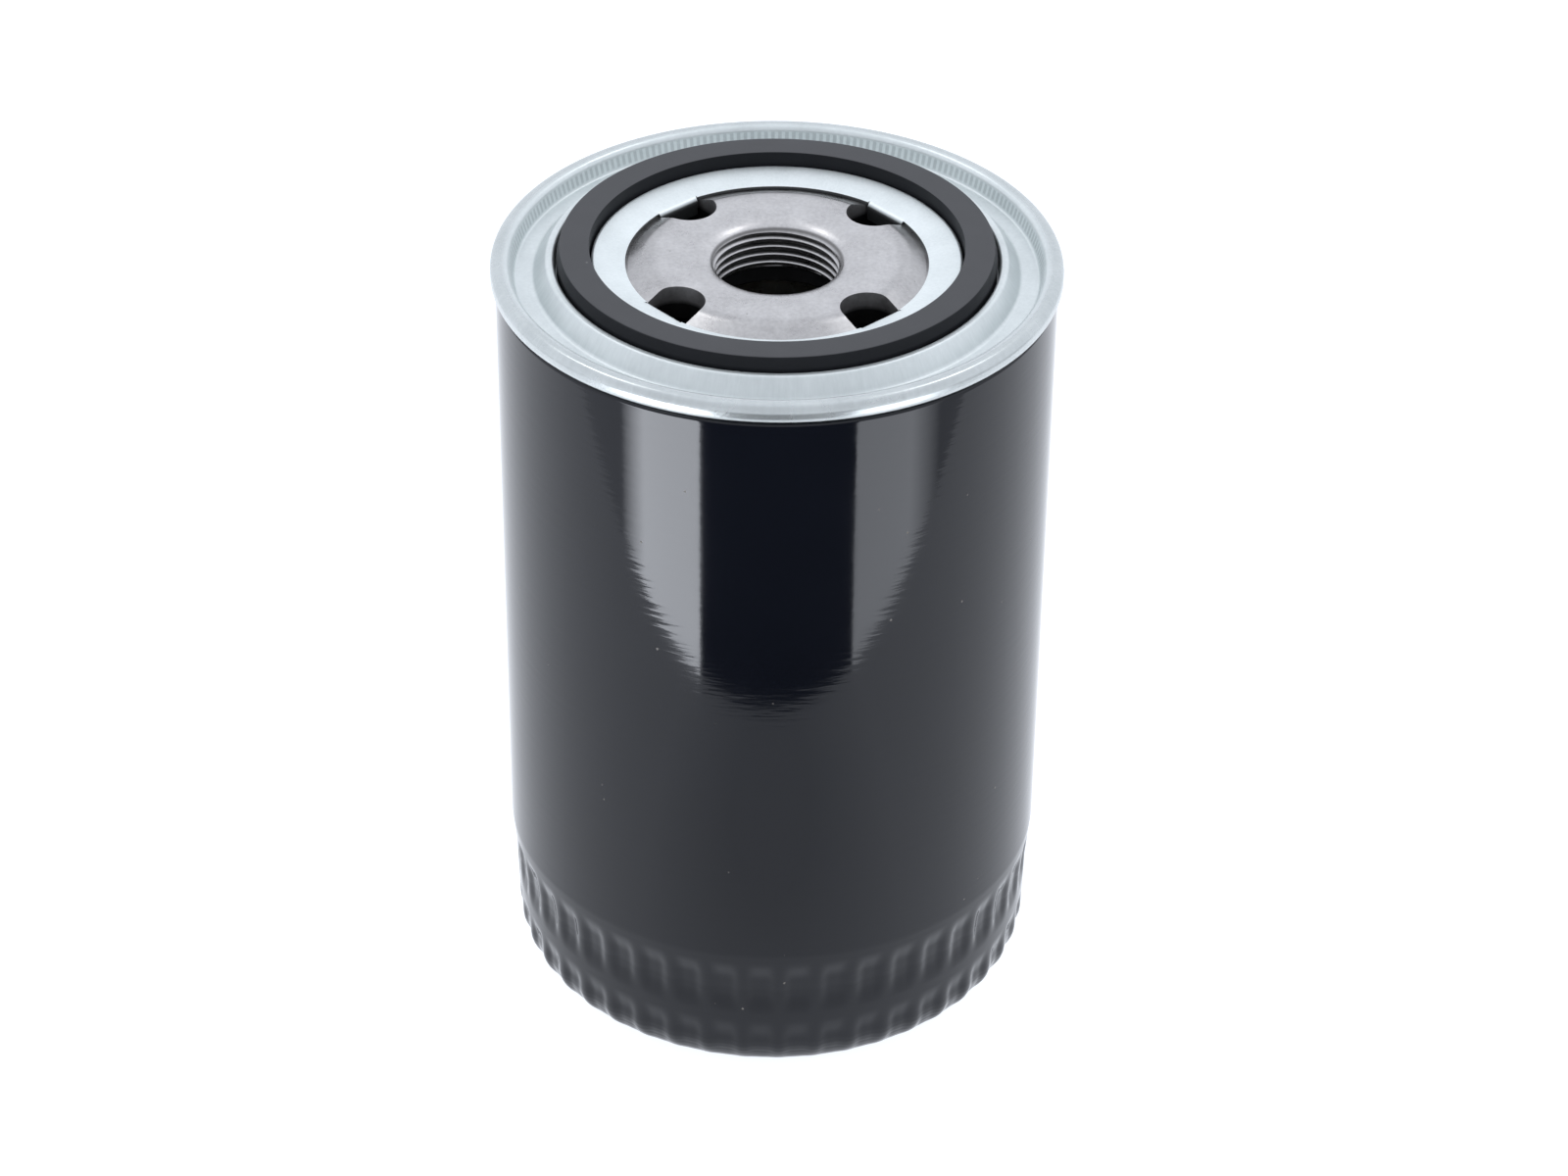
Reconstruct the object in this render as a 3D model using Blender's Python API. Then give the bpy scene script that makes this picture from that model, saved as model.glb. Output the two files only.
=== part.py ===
"""Spin-on oil filter with a fluted can, a seamed zinc lid and an M22 x 1.5 thread plate.

The filter stands on its closed end: the origin is the centre of the base, and +Z runs up its
axis to the sealing gasket. Dimensions are in millimetres and become metres in each mesh.
"""

import math

import bmesh
import bpy
from mathutils import Matrix, Vector

MM = 0.001
GAP = 0.3

# Driving dimensions
HEIGHT = 140.6
CAN_RADIUS = 46.2
SEAM_RADIUS = 47.4
CAN_SHEET = 0.5
LID_SHEET = 0.5
CAP_SHEET = 0.5
GASKET_INNER = 31.0
GASKET_OUTER = 36.4
GASKET_TOP_OUTER = 35.85
THREAD_MINOR = 10.19

# Heights of the closing end
GASKET_HEIGHT = 5.0
RIDGE_TOP = HEIGHT - 2.2
SEAM_TOP = RIDGE_TOP
LID_TOP = HEIGHT - 3.1
GROOVE_FLOOR = HEIGHT - GASKET_HEIGHT - GAP
SEAM_BOTTOM = SEAM_TOP - 3.3
PLATE_TOP = LID_TOP - LID_SHEET - GAP
PLATE_THICKNESS = 4.4
PLATE_BOTTOM = PLATE_TOP - PLATE_THICKNESS
RAISED_TOP = PLATE_TOP + 1.5
HUB_BOTTOM = PLATE_TOP - 7.1

# Lid opening, with four tabs bent down into the plate's four inlet slots
OPENING_RADIUS = 25.1
TAB_COUNT = 4
TAB_ANGLE = math.radians(42.6)
TAB_WIDTH = 8.2
TAB_FACE = 24.3
SLOT_WIDTH = 9.2
SLOT_INNER = 17.3
SLOT_OUTER = 28.4

# Thread plate: a raised middle that stands up through the lid's opening
PLATE_RADIUS = 42.5
STEP_RADIUS = 29.8
SLOPE_RADIUS = 24.9
RAISED_RADIUS = 21.5
HUB_RADIUS = 13.2
MOUTH_ROUND = 2.5

# Anti-drain valve
VALVE_COLLAR = 17.5
VALVE_LIP = 33.0

# How many sides the round pieces have: two for each flute on the can, fewer inside it
FLUTE_COUNT = 45
CAN_SEGMENTS = 2 * FLUTE_COUNT
RING_SEGMENTS = 48
INNER_SEGMENTS = 32
STEM_SEGMENTS = 12

# Can base and its two rows of wrench flutes
FLUTE_DEPTH = 0.8
BASE_DISH = 2.0
DISH_RADIUS = 27.5
FOOT_INNER = 31.0
CORNER_RADIUS = 7.0
LOWER_RADIUS = 45.4
UPPER_FLUTES = (15.6, 24.1)
LOWER_FLUTES = (3.2, 10.3)
FLUTE_RUNOUT = 1.0

# Filter element
ELEMENT_RADIUS = 38.8
ELEMENT_TOP = PLATE_BOTTOM - 6.3
ELEMENT_BOTTOM = 19.0
CAP_RIM = 7.5
GLUE_THICKNESS = 1.3
TUBE_OUTER = 16.5
TUBE_SHEET = 0.5
PLEAT_COUNT = 40
PAPER = 0.7
PAPER_OUTER = 37.2
PAPER_INNER = 17.9

# Bypass valve in the element's lower cap
SEAT_OPENING = 7.5
SEAT_LIP = ELEMENT_BOTTOM + 5.0
DISC_RADIUS = 10.5
CAGE_RADIUS = 12.2
CAGE_TOP = SEAT_LIP + 14.5
STEM_RADIUS = 1.5
STEM_HOLE = 1.8

# Coil springs
SUPPORT_WIRE = 2.2
SUPPORT_COIL = 21.0
BYPASS_WIRE = 1.0
BYPASS_COIL = 5.5


def clear_scene():
    for item in list(bpy.data.objects):
        bpy.data.objects.remove(item, do_unlink=True)


def material(name, colour, roughness, metallic):
    made = bpy.data.materials.new(name)
    made.use_nodes = True
    shader = made.node_tree.nodes["Principled BSDF"]
    shader.inputs["Base Color"].default_value = (*colour, 1.0)
    shader.inputs["Roughness"].default_value = roughness
    shader.inputs["Metallic"].default_value = metallic
    made.diffuse_color = (*colour, 1.0)
    return made


def carrier(name, height):
    """An empty on the filter's axis that a moving group is parented to."""
    empty = bpy.data.objects.new(name, None)
    empty.location = (0.0, 0.0, height * MM)
    bpy.context.scene.collection.objects.link(empty)
    return empty


def add_object(name, mesh_data, finish, parent=None, smooth=True):
    """Makes an object from a bmesh in metres and world axes, and rides it on its carrier."""
    bmesh.ops.recalc_face_normals(mesh_data, faces=mesh_data.faces)
    origin = parent.location.copy() if parent else Vector((0.0, 0.0, 0.0))
    bmesh.ops.translate(mesh_data, verts=mesh_data.verts, vec=-origin)
    mesh = bpy.data.meshes.new(name)
    mesh_data.to_mesh(mesh)
    mesh_data.free()
    mesh.materials.append(finish)
    if smooth:
        mesh.shade_smooth()
        mesh.set_sharp_from_angle(angle=math.radians(35.0))
    made = bpy.data.objects.new(name, mesh)
    made.parent = parent
    bpy.context.scene.collection.objects.link(made)
    return made


def arc(centre, radius, start, end, steps):
    """Points on a circle in the radius-height plane, from one angle in degrees to another."""
    points = []
    for step in range(steps + 1):
        angle = math.radians(start + (end - start) * step / steps)
        points.append((centre[0] + radius * math.cos(angle), centre[1] + radius * math.sin(angle)))
    return points


def sheet(path, thickness):
    """Closed outline of pressed sheet: the path is one face, and the metal lies to its left."""
    offset = []
    last = len(path) - 1
    for index, (radius, height) in enumerate(path):
        before = path[max(index - 1, 0)]
        after = path[min(index + 1, last)]
        normals = []
        for start, end in ((before, (radius, height)), ((radius, height), after)):
            run = Vector((end[0] - start[0], end[1] - start[1]))
            if run.length > 0.0:
                normals.append(Vector((-run.y, run.x)).normalized())
        corner = sum(normals, Vector((0.0, 0.0))).normalized()
        reach = thickness / corner.dot(normals[0])
        offset.append((radius + corner.x * reach, height + corner.y * reach))
    return path + offset[::-1]


def turned_mesh(outline, segments, radius_at=None):
    """Spins a closed outline of (radius, height) points once round the Z axis."""
    mesh_data = bmesh.new()
    rings = []
    for radius, height in outline:
        if radius < 1e-6:
            rings.append([mesh_data.verts.new((0.0, 0.0, height * MM))] * segments)
            continue
        ring = []
        for segment in range(segments):
            angle = 2.0 * math.pi * segment / segments
            here = radius_at(radius, height, segment) if radius_at else radius
            point = (here * math.cos(angle) * MM, here * math.sin(angle) * MM, height * MM)
            ring.append(mesh_data.verts.new(point))
        rings.append(ring)
    for ring, above in zip(rings, rings[1:] + rings[:1]):
        for segment in range(segments):
            following = (segment + 1) % segments
            corners = (ring[segment], ring[following], above[following], above[segment])
            face = list(dict.fromkeys(corners))
            if len(face) > 2:
                mesh_data.faces.new(face)
    return mesh_data


def turned(name, outline, finish, parent=None, segments=INNER_SEGMENTS):
    return add_object(name, turned_mesh(outline, segments), finish, parent)


def extruded_mesh(plan, low, high):
    """A prism on a plan outline of (x, y) points, between two heights."""
    mesh_data = bmesh.new()
    floor = [mesh_data.verts.new((x * MM, y * MM, low * MM)) for x, y in plan]
    roof = [mesh_data.verts.new((x * MM, y * MM, high * MM)) for x, y in plan]
    mesh_data.faces.new(floor)
    mesh_data.faces.new(roof)
    for index in range(len(plan)):
        following = (index + 1) % len(plan)
        mesh_data.faces.new((floor[index], floor[following], roof[following], roof[index]))
    return mesh_data


def add_cutter(name, mesh_data):
    cutter = add_object(name, mesh_data, bpy.data.materials["cutter"], smooth=False)
    cutter.hide_render = True
    cutter.display_type = "WIRE"
    return cutter


def combine(target, other, operation):
    modifier = target.modifiers.new(other.name, "BOOLEAN")
    modifier.operation = operation
    modifier.object = other


def flute_depth(height):
    """How far a flute is pressed in at this height: full depth inside a row, none outside."""
    for low, high in (LOWER_FLUTES, UPPER_FLUTES):
        inside = min(height - low, high - height)
        if inside > 0.0:
            return FLUTE_DEPTH * min(inside / FLUTE_RUNOUT, 1.0)
    return 0.0


def can_radius(radius, height, segment):
    """Ridges stand on even segments and the flutes between them on odd ones."""
    if radius < LOWER_RADIUS - CORNER_RADIUS or segment % 2 == 0:
        return radius
    return radius - flute_depth(height)


def can_shell(finish):
    """Deep-drawn can: dished base, fluted lower wall, and a flange hooked into the lid's seam."""
    upper_low, upper_high = UPPER_FLUTES
    lower_high = LOWER_FLUTES[1]
    neck = CAN_RADIUS - 1.2
    hook_top = SEAM_TOP - 2.1
    path = [(0.0, BASE_DISH), (DISH_RADIUS, BASE_DISH), (FOOT_INNER, 0.0)]
    path += arc((LOWER_RADIUS - CORNER_RADIUS, CORNER_RADIUS), CORNER_RADIUS, -90.0, 0.0, 2)
    path += [(LOWER_RADIUS + 0.1, lower_high - FLUTE_RUNOUT), (LOWER_RADIUS + 0.3, lower_high)]
    path += [(LOWER_RADIUS + 0.4, upper_low), (LOWER_RADIUS + 0.5, upper_low + FLUTE_RUNOUT)]
    path += [(CAN_RADIUS - 0.1, upper_high - FLUTE_RUNOUT), (CAN_RADIUS, upper_high)]
    path += [(CAN_RADIUS, SEAM_BOTTOM - 3.5), (neck, SEAM_BOTTOM - 1.0)]
    path += [(neck, hook_top), (neck + 1.1, hook_top), (neck + 1.1, SEAM_BOTTOM + 0.8)]
    mesh_data = turned_mesh(sheet(path, CAN_SHEET), CAN_SEGMENTS, can_radius)
    return add_object("can_shell", mesh_data, finish)


def lid_outline():
    """Seaming lid from its opening, over the gasket groove and countersink, into the seam."""
    groove_in = GASKET_INNER - GAP
    groove_out = GASKET_OUTER + 0.4
    countersink = GROOVE_FLOOR
    wall = SEAM_RADIUS - 3.7
    cover_hook = SEAM_RADIUS - 2.1
    path = [(OPENING_RADIUS, LID_TOP), (groove_in, LID_TOP)]
    path += [(groove_in, GROOVE_FLOOR), (groove_out, GROOVE_FLOOR)]
    path += [(groove_out, RIDGE_TOP - 0.3), (groove_out + 0.3, RIDGE_TOP)]
    path += [(groove_out + 1.3, RIDGE_TOP), (groove_out + 3.8, countersink)]
    path += [(wall - 0.4, countersink), (wall, countersink + 0.4), (wall + 0.1, SEAM_TOP - 1.4)]
    path += [(wall + 1.2, SEAM_TOP - 0.1), (SEAM_RADIUS - 1.0, SEAM_TOP)]
    path += [(SEAM_RADIUS, SEAM_TOP - 1.0), (SEAM_RADIUS, SEAM_BOTTOM)]
    path += [(cover_hook, SEAM_BOTTOM), (cover_hook, SEAM_BOTTOM + 0.9)]
    return sheet(path[::-1], LID_SHEET)


def tab_mesh(angle):
    """One tab of the lid's rim, bent down into its inlet slot."""
    root = (OPENING_RADIUS + 1.9, LID_TOP - 0.05)
    path = [(TAB_FACE, LID_TOP - 3.3), (TAB_FACE, LID_TOP - 1.0), (TAB_FACE + 0.3, LID_TOP - 0.3)]
    path += [(OPENING_RADIUS, LID_TOP - 0.05), root]
    outline = sheet(path[::-1], LID_SHEET - 0.1)
    mesh_data = bmesh.new()
    sides = []
    for side in (-0.5, 0.5):
        sides.append([mesh_data.verts.new((r * MM, side * TAB_WIDTH * MM, z * MM)) for r, z in outline])
    mesh_data.faces.new(sides[0])
    mesh_data.faces.new(sides[1])
    for index in range(len(outline)):
        following = (index + 1) % len(outline)
        near, far = sides
        mesh_data.faces.new((near[index], near[following], far[following], far[index]))
    bmesh.ops.rotate(mesh_data, verts=mesh_data.verts, matrix=Matrix.Rotation(angle, 3, "Z"))
    return mesh_data


def seaming_lid(finish):
    lid = turned("seaming_lid", lid_outline(), finish, segments=RING_SEGMENTS)
    for tab in range(TAB_COUNT):
        angle = TAB_ANGLE + tab * 2.0 * math.pi / TAB_COUNT
        combine(lid, add_cutter(f"lid_tab_{tab + 1}", tab_mesh(angle)), "UNION")
    return lid


def seam_compound(finish):
    """Sealing compound in the top of the double seam, above the can's hook."""
    low = SEAM_TOP - 1.3
    inner = SEAM_RADIUS - 2.4
    outer = SEAM_RADIUS - 1.1
    outline = [(inner, low), (outer, low), (outer, low + 0.4), (inner, low + 0.4)]
    return turned("seam_compound", outline, finish, segments=RING_SEGMENTS)


def slot_plan(angle):
    """Round-ended slot that runs out from the hub."""
    half = SLOT_WIDTH / 2.0
    turn = Matrix.Rotation(angle, 2)
    plan = arc((SLOT_OUTER - half, 0.0), half, -90.0, 90.0, 8)
    plan += arc((SLOT_INNER + half, 0.0), half, 90.0, 270.0, 8)
    return [tuple(turn @ Vector(point)) for point in plan]


def thread_plate(finish):
    """Thick pressed plate: rim under the gasket groove, raised middle, and a drawn threaded hub."""
    rim_top = GROOVE_FLOOR - LID_SHEET - GAP
    outline = [(THREAD_MINOR, HUB_BOTTOM + 0.6), (THREAD_MINOR + 0.6, HUB_BOTTOM)]
    outline += [(HUB_RADIUS, HUB_BOTTOM), (HUB_RADIUS, PLATE_BOTTOM)]
    outline += [(PLATE_RADIUS - 0.5, PLATE_BOTTOM), (PLATE_RADIUS, PLATE_BOTTOM + 0.5)]
    outline += [(PLATE_RADIUS, rim_top), (STEP_RADIUS, rim_top), (STEP_RADIUS - 0.2, PLATE_TOP - 0.3)]
    outline += [(STEP_RADIUS - 0.6, PLATE_TOP), (SLOPE_RADIUS, PLATE_TOP), (RAISED_RADIUS, RAISED_TOP)]
    mouth = (THREAD_MINOR + MOUTH_ROUND, RAISED_TOP - MOUTH_ROUND)
    outline += arc(mouth, MOUTH_ROUND, 90.0, 180.0, 5)
    plate = turned("thread_plate", outline, finish, segments=RING_SEGMENTS)
    for slot in range(TAB_COUNT):
        plan = slot_plan(TAB_ANGLE + slot * 2.0 * math.pi / TAB_COUNT)
        mesh_data = extruded_mesh(plan, PLATE_BOTTOM - 1.0, RAISED_TOP + 1.0)
        combine(plate, add_cutter(f"inlet_slot_{slot + 1}", mesh_data), "DIFFERENCE")
    return plate


def sealing_gasket(finish):
    low = GROOVE_FLOOR + GAP
    outline = [(GASKET_INNER, low), (GASKET_OUTER, low), (GASKET_OUTER, HEIGHT - 2.0)]
    outline += [(GASKET_TOP_OUTER, HEIGHT - 0.2), (GASKET_TOP_OUTER - 0.2, HEIGHT)]
    outline += [(GASKET_INNER, HEIGHT)]
    return turned("sealing_gasket", outline, finish, segments=RING_SEGMENTS)


def anti_drain_valve(finish):
    """Rubber membrane: a thick collar round the hub and a lip that closes the inlet slots."""
    top = PLATE_BOTTOM - GAP
    low = ELEMENT_TOP + GAP
    bore = HUB_RADIUS + GAP
    foot = HUB_BOTTOM - GAP
    inner = HUB_RADIUS - 1.2
    outline = [(inner, low), (VALVE_COLLAR, low), (VALVE_COLLAR + 0.2, low + 2.1)]
    outline += [(VALVE_LIP - 0.5, top - 1.2), (VALVE_LIP, top - 0.7), (VALVE_LIP - 0.3, top)]
    outline += [(VALVE_LIP - 1.5, top), (VALVE_LIP - 3.5, top - 0.8), (VALVE_COLLAR, top - 2.4)]
    outline += [(VALVE_COLLAR, top - 0.4), (VALVE_COLLAR - 0.4, top), (bore, top)]
    outline += [(bore, foot), (inner, foot)]
    return turned("anti_drain_valve", outline, finish, segments=RING_SEGMENTS)


def top_end_cap(finish, parent):
    collar = 14.3
    path = [(ELEMENT_RADIUS, ELEMENT_TOP - CAP_RIM), (ELEMENT_RADIUS, ELEMENT_TOP - 0.6)]
    path += [(ELEMENT_RADIUS - 0.6, ELEMENT_TOP), (collar, ELEMENT_TOP)]
    path += [(collar, ELEMENT_TOP - CAP_RIM)]
    return turned("top_end_cap", sheet(path, CAP_SHEET), finish, parent)


def bottom_end_cap(finish, parent):
    path = [(13.0, ELEMENT_BOTTOM), (ELEMENT_RADIUS - 0.6, ELEMENT_BOTTOM)]
    path += [(ELEMENT_RADIUS, ELEMENT_BOTTOM + 0.6), (ELEMENT_RADIUS, ELEMENT_BOTTOM + CAP_RIM)]
    return turned("bottom_end_cap", sheet(path, CAP_SHEET), finish, parent)


def glue_ring(name, low, finish, parent):
    inner = TUBE_OUTER + 0.5
    outer = ELEMENT_RADIUS - CAP_SHEET - 0.4
    high = low + GLUE_THICKNESS
    outline = [(inner, low), (outer, low), (outer, high), (inner, high)]
    return turned(name, outline, finish, parent)


def paper_heights():
    inset = CAP_SHEET + GAP + GLUE_THICKNESS + GAP
    return ELEMENT_BOTTOM + inset, ELEMENT_TOP - inset


def polar(radius, degrees):
    angle = math.radians(degrees)
    return radius * math.cos(angle), radius * math.sin(angle)


def pleated_media(finish, parent):
    """Star-pleated paper: every pleat is two leaves with a fold at each end."""
    low, high = paper_heights()
    pitch = 360.0 / PLEAT_COUNT
    dirty_side = []
    clean_side = []
    for pleat in range(PLEAT_COUNT):
        middle = pleat * pitch
        valley = PAPER_INNER + PAPER
        dirty_side += [polar(PAPER_OUTER, middle - 1.85), polar(PAPER_OUTER, middle + 1.85)]
        dirty_side += [polar(valley, middle + 3.1), polar(valley, middle + pitch - 3.1)]
        crest = PAPER_OUTER - PAPER
        clean_side += [polar(crest, middle - 0.78), polar(crest, middle + 0.78)]
        clean_side += [polar(PAPER_INNER, middle + 0.78), polar(PAPER_INNER, middle + pitch - 0.78)]
    mesh_data = bmesh.new()
    rings = []
    for plan, height in ((dirty_side, low), (dirty_side, high), (clean_side, high), (clean_side, low)):
        rings.append([mesh_data.verts.new((x * MM, y * MM, height * MM)) for x, y in plan])
    for ring, above in zip(rings, rings[1:] + rings[:1]):
        for index in range(len(ring)):
            following = (index + 1) % len(ring)
            mesh_data.faces.new((ring[index], ring[following], above[following], above[index]))
    return add_object("pleated_media", mesh_data, finish, parent, smooth=False)


def media_seam_clip(finish, parent):
    """Folded steel strip that closes the ends of the paper over one pleat."""
    low, high = paper_heights()
    inside = 1.5
    outside = inside + 0.4
    back = PAPER_OUTER + GAP
    mouth = PAPER_OUTER - 4.0
    plan = [(mouth, -outside), (back + 0.4, -outside), (back + 0.4, outside), (mouth, outside)]
    plan += [(mouth, inside), (back, inside), (back, -inside), (mouth, -inside)]
    mesh_data = extruded_mesh(plan, low + 0.5, high - 0.5)
    return add_object("media_seam_clip", mesh_data, finish, parent, smooth=False)


def center_tube(finish, parent):
    """Perforated steel tube: a grid of cells with every other one left open."""
    columns = 16
    rows = 11
    low = ELEMENT_BOTTOM + CAP_SHEET + GAP
    high = ELEMENT_TOP - CAP_SHEET - GAP
    mesh_data = bmesh.new()
    layers = []
    for radius in (TUBE_OUTER, TUBE_OUTER - TUBE_SHEET):
        grid = []
        for row in range(rows + 1):
            height = low + (high - low) * row / rows
            ring = []
            for column in range(columns):
                x, y = polar(radius, 360.0 * column / columns)
                ring.append(mesh_data.verts.new((x * MM, y * MM, height * MM)))
            grid.append(ring)
        layers.append(grid)

    def is_open(row, column):
        return row % 2 == 1 and column % 2 == (row // 2) % 2

    def is_solid(row, column):
        return 0 <= row < rows and not is_open(row, column % columns)

    for row in range(rows):
        for column in range(columns):
            if not is_solid(row, column):
                continue
            following = (column + 1) % columns
            corners = [(row, column), (row, following), (row + 1, following), (row + 1, column)]
            for grid in layers:
                mesh_data.faces.new([grid[r][c] for r, c in corners])
            beside = [(row - 1, column), (row, column + 1), (row + 1, column), (row, column - 1)]
            for side, (near_row, near_column) in enumerate(beside):
                if is_solid(near_row, near_column):
                    continue
                start = corners[side]
                end = corners[(side + 1) % 4]
                outer, inner = layers
                mesh_data.faces.new((outer[start[0]][start[1]], outer[end[0]][end[1]],
                                     inner[end[0]][end[1]], inner[start[0]][start[1]]))
    return add_object("center_tube", mesh_data, finish, parent)


def bypass_seat(finish, parent):
    flange = ELEMENT_BOTTOM + CAP_SHEET + GAP
    path = [(15.2, flange), (10.5, flange), (9.4, SEAT_LIP - 0.5), (SEAT_OPENING, SEAT_LIP - 0.5)]
    return turned("bypass_seat", sheet(path[::-1], CAP_SHEET), finish, parent)


def bypass_cage(finish, parent):
    """Inverted cup over the valve disc, with four flow windows and a guide hole for the stem."""
    foot = ELEMENT_BOTTOM + 2.0 * (CAP_SHEET + GAP) + CAP_SHEET
    path = [(15.2, foot), (CAGE_RADIUS, foot), (CAGE_RADIUS, CAGE_TOP - 0.8)]
    path += [(CAGE_RADIUS - 0.8, CAGE_TOP), (STEM_HOLE, CAGE_TOP)]
    cage = turned("bypass_cage", sheet(path, CAP_SHEET), finish, parent)
    window = [(-CAGE_RADIUS - 2.0, -4.0), (CAGE_RADIUS + 2.0, -4.0)]
    window += [(CAGE_RADIUS + 2.0, 4.0), (-CAGE_RADIUS - 2.0, 4.0)]
    for turn in range(2):
        mesh_data = extruded_mesh(window, foot + 2.0, CAGE_TOP - 4.0)
        spin = Matrix.Rotation(turn * math.pi / 2.0, 3, "Z")
        bmesh.ops.rotate(mesh_data, verts=mesh_data.verts, matrix=spin)
        combine(cage, add_cutter(f"cage_window_{turn + 1}", mesh_data), "DIFFERENCE")
    return cage


def bypass_seal(finish, parent):
    low = SEAT_LIP + GAP
    outline = [(7.0, low), (9.8, low), (9.8, low + 1.2), (7.0, low + 1.2)]
    return turned("bypass_seal", outline, finish, parent)


def bypass_disc(finish, parent):
    low = SEAT_LIP + 1.8
    outline = [(STEM_HOLE, low), (DISC_RADIUS, low), (DISC_RADIUS, low + 0.8), (STEM_HOLE, low + 0.8)]
    return turned("bypass_disc", outline, finish, parent)


def bypass_stem(finish, parent):
    """Guide pin riveted through the disc, with its head underneath."""
    head = SEAT_LIP + 0.6
    top = CAGE_TOP + 3.5
    outline = [(0.0, head), (3.0, head), (3.0, head + 0.9), (STEM_RADIUS, head + 0.9)]
    outline += [(STEM_RADIUS, top - 0.5), (STEM_RADIUS - 0.5, top), (0.0, top)]
    return turned("bypass_stem", outline, finish, parent, STEM_SEGMENTS)


def coil_path(low, high, coil_radius, wire, turns, steps):
    """Centre line of a compression spring whose first and last turns lie almost closed."""
    closed_pitch = wire + 0.35
    start = low + wire / 2.0
    active = (high - low) - wire - 2.0 * closed_pitch
    points = []
    for step in range(turns * steps + 1):
        turn = step / steps
        climb = min(turn, 1.0) + max(turn - (turns - 1), 0.0)
        middle = min(max(turn - 1.0, 0.0), turns - 2)
        height = start + closed_pitch * climb + active * middle / (turns - 2)
        x, y = polar(coil_radius, 360.0 * turn)
        points.append((x * MM, y * MM, height * MM))
    return points


def coil_spring(name, low, high, coil_radius, wire, turns, finish, parent=None):
    """A wire bent along the coil, as a curve with a round bevel and filled ends."""
    origin = parent.location if parent else Vector((0.0, 0.0, 0.0))
    points = coil_path(low, high, coil_radius, wire, turns, 16)
    curve = bpy.data.curves.new(name, "CURVE")
    curve.dimensions = "3D"
    curve.bevel_depth = wire / 2.0 * MM
    curve.bevel_resolution = 1
    curve.use_fill_caps = True
    spline = curve.splines.new("POLY")
    spline.points.add(len(points) - 1)
    for index, point in enumerate(points):
        spline.points[index].co = (*(Vector(point) - origin), 1.0)
    curve.materials.append(finish)
    made = bpy.data.objects.new(name, curve)
    made.parent = parent
    bpy.context.scene.collection.objects.link(made)
    return made


def spring_cup(finish, parent):
    """Pressed cup that carries the element on the support spring."""
    top = ELEMENT_BOTTOM - GAP
    rim = SUPPORT_COIL + SUPPORT_WIRE / 2.0 + 2.3
    path = [(rim, top - 4.2), (rim, top - 0.6), (rim - 0.6, top), (12.0, top)]
    return turned("spring_cup", sheet(path, 0.6), finish, parent)


def main():
    clear_scene()
    black_paint = material("black_paint", (0.010, 0.010, 0.012), 0.18, 0.0)
    zinc = material("zinc_plate", (0.72, 0.76, 0.79), 0.30, 1.0)
    steel = material("bare_steel", (0.56, 0.56, 0.57), 0.38, 1.0)
    tinplate = material("tinplate", (0.60, 0.60, 0.58), 0.35, 1.0)
    spring_steel = material("spring_steel", (0.30, 0.30, 0.31), 0.35, 1.0)
    gasket_rubber = material("gasket_rubber", (0.060, 0.062, 0.068), 0.70, 0.0)
    black_rubber = material("black_rubber", (0.020, 0.020, 0.021), 0.60, 0.0)
    compound = material("compound", (0.20, 0.12, 0.08), 0.80, 0.0)
    glue = material("glue", (0.45, 0.10, 0.06), 0.55, 0.0)
    paper = material("filter_paper", (0.72, 0.56, 0.28), 0.90, 0.0)
    material("cutter", (0.8, 0.2, 0.2), 0.5, 0.0)

    element = carrier("element_carrier", ELEMENT_BOTTOM)
    bypass = carrier("bypass_carrier", SEAT_LIP)

    can_shell(black_paint)
    seaming_lid(zinc)
    seam_compound(compound)
    thread_plate(steel)
    sealing_gasket(gasket_rubber)
    anti_drain_valve(black_rubber)

    top_end_cap(tinplate, element)
    bottom_end_cap(tinplate, element)
    glue_ring("bottom_adhesive", ELEMENT_BOTTOM + CAP_SHEET + GAP, glue, element)
    glue_ring("top_adhesive", ELEMENT_TOP - CAP_SHEET - GAP - GLUE_THICKNESS, glue, element)
    pleated_media(paper, element)
    media_seam_clip(tinplate, element)
    center_tube(tinplate, element)
    spring_cup(tinplate, element)

    bypass_seat(tinplate, element)
    bypass_cage(tinplate, element)
    bypass_seal(black_rubber, bypass)
    bypass_disc(steel, bypass)
    bypass_stem(steel, bypass)

    cup_inside = ELEMENT_BOTTOM - GAP - 0.6 - GAP
    can_floor = BASE_DISH + CAN_SHEET + GAP
    coil_spring("support_spring", can_floor, cup_inside, SUPPORT_COIL, SUPPORT_WIRE, 4, spring_steel)
    disc_top = SEAT_LIP + 2.6 + GAP
    cage_inside = CAGE_TOP - CAP_SHEET - GAP
    coil_spring("bypass_spring", disc_top, cage_inside, BYPASS_COIL, BYPASS_WIRE, 5,
                spring_steel, element)


main()
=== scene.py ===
"""Looks of the spin-on oil filter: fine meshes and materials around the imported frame."""

import math

import bmesh
import bpy
from mathutils import Matrix, Vector


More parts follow.
